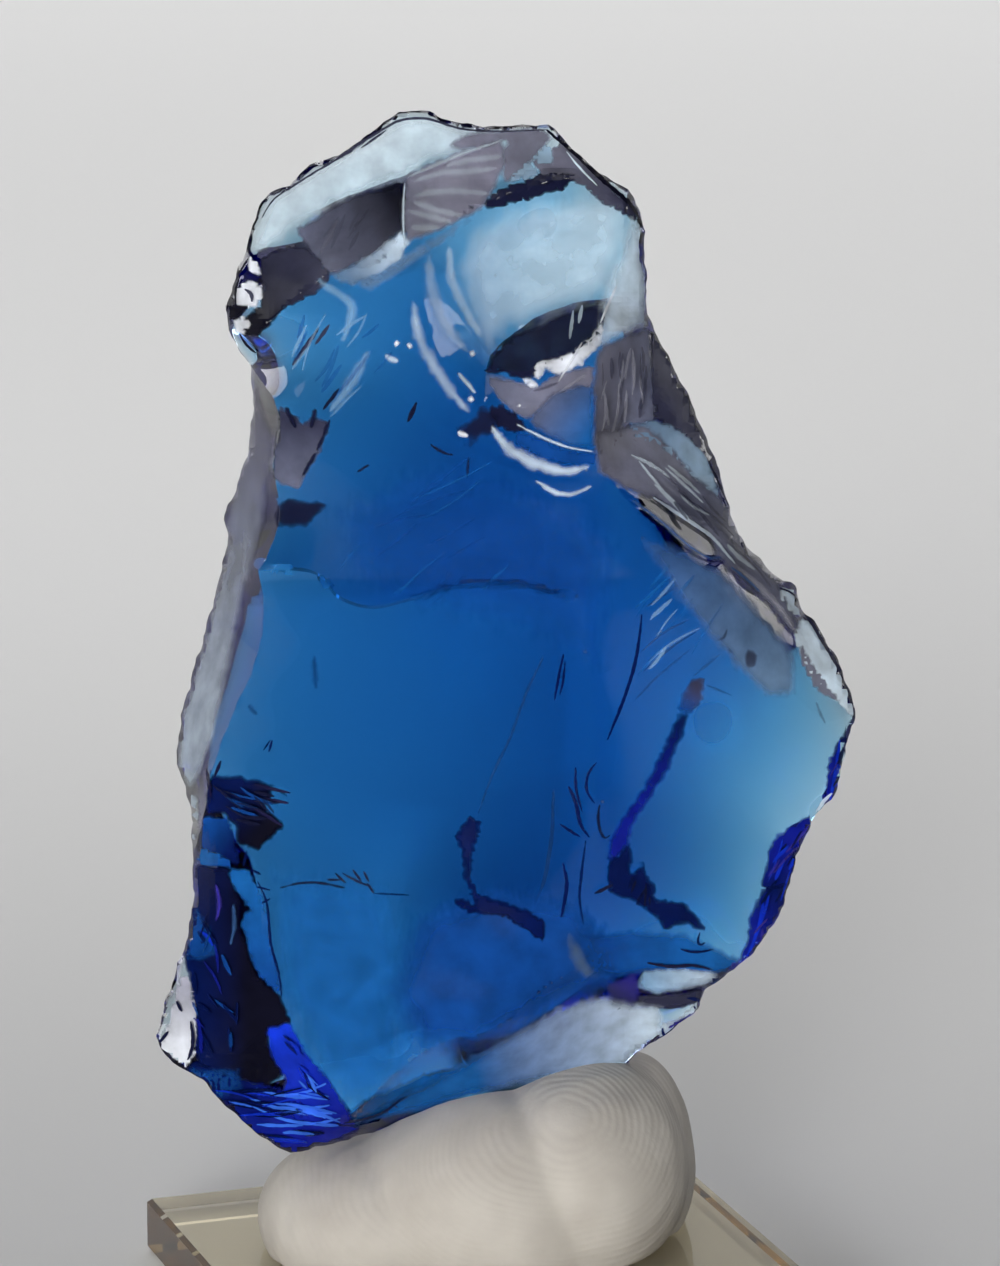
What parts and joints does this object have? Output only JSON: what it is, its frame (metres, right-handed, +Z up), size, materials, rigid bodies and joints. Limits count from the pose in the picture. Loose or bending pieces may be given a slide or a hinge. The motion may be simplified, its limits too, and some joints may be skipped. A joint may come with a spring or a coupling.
{
  "type": "andara crystal",
  "caption": "Chipped lump of clear blue glass with shell-shaped scars, held upright in white putty on a clear acrylic square.",
  "frame": {"origin": "centre of the acrylic square's underside", "axes": "+Z up along the crystal's height, the crystal's broad face looks along -Y, the square is turned 19 degrees about Z"},
  "size_m": [0.0404, 0.0404, 0.0672],
  "materials": {
    "blue_glass": "clear blue glass, deep blue where thick and nearly colourless at thin edges, bright fresh fractures",
    "white_putty": "matt off-white adhesive putty, pressed by hand, with fine finger ridges",
    "clear_acrylic": "clear cast acrylic, slightly yellow with age, polished faces and sawn edges"
  },
  "bodies": {
    "root": {"crystal": "blue_glass", "putty": "white_putty", "acrylic_base": "clear_acrylic"}
  },
  "joints": []
}
